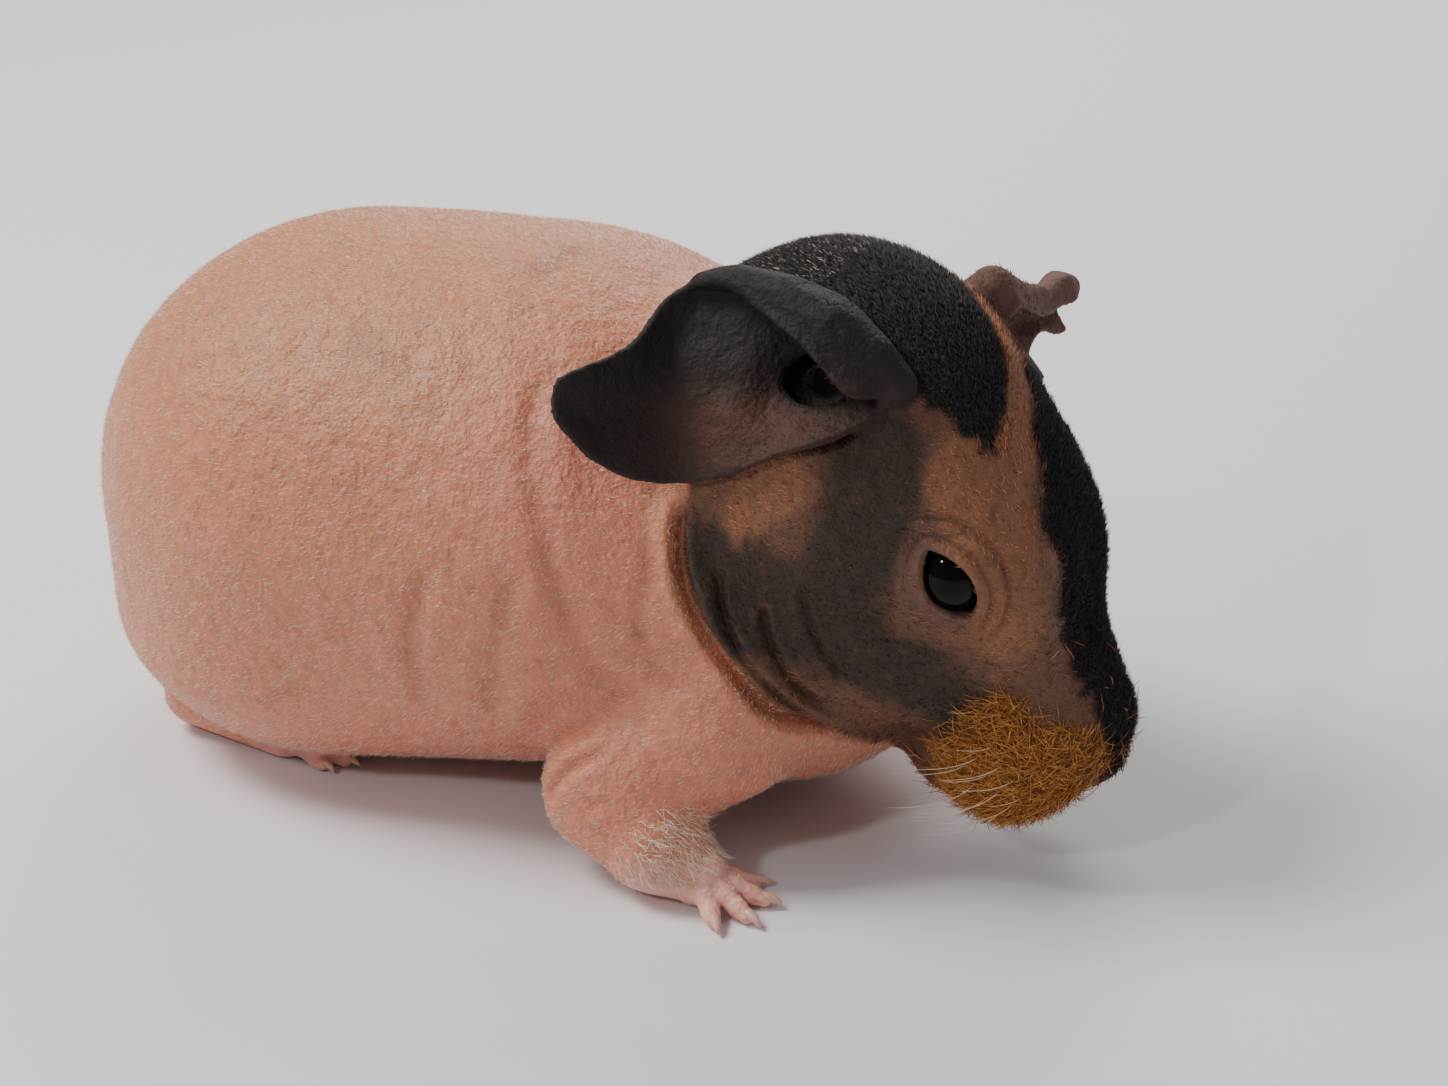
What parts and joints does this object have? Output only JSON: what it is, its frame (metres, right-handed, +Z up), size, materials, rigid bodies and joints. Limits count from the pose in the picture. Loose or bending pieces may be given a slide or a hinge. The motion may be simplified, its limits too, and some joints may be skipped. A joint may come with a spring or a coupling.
{
  "type": "skinny pig model",
  "caption": "Life-size still model of a hairless guinea pig pup, crouching on its belly with the head lowered and one ear folded back.",
  "frame": {"origin": "on the floor, under the middle of the animal's bounding box", "axes": "+X forward to the nose, +Y to the animal's left, +Z up"},
  "size_m": [0.1402, 0.0834, 0.0762],
  "materials": {
    "body_skin": "bare, finely wrinkled skin, pink tan with faint freckles",
    "head_skin": "dark and tan skin with short fuzz, golden on the muzzle",
    "ear_skin": "thin dark skin, reddish inside",
    "foot_skin": "bare pink skin",
    "eye": "wet, almost black",
    "claw": "pale horn",
    "coat": "short fine hair"
  },
  "bodies": {
    "root": {"torso": "body_skin", "neck": "body_skin", "head": "head_skin", "ear_right": "ear_skin", "ear_left": "ear_skin", "eye_left": "eye", "foreleg_left": "body_skin", "forefoot_left": "foot_skin", "haunch_left": "body_skin", "hindfoot_left": "foot_skin", "eye_right": "eye", "foreleg_right": "body_skin", "forefoot_right": "foot_skin", "haunch_right": "body_skin", "hindfoot_right": "foot_skin"}
  },
  "joints": []
}
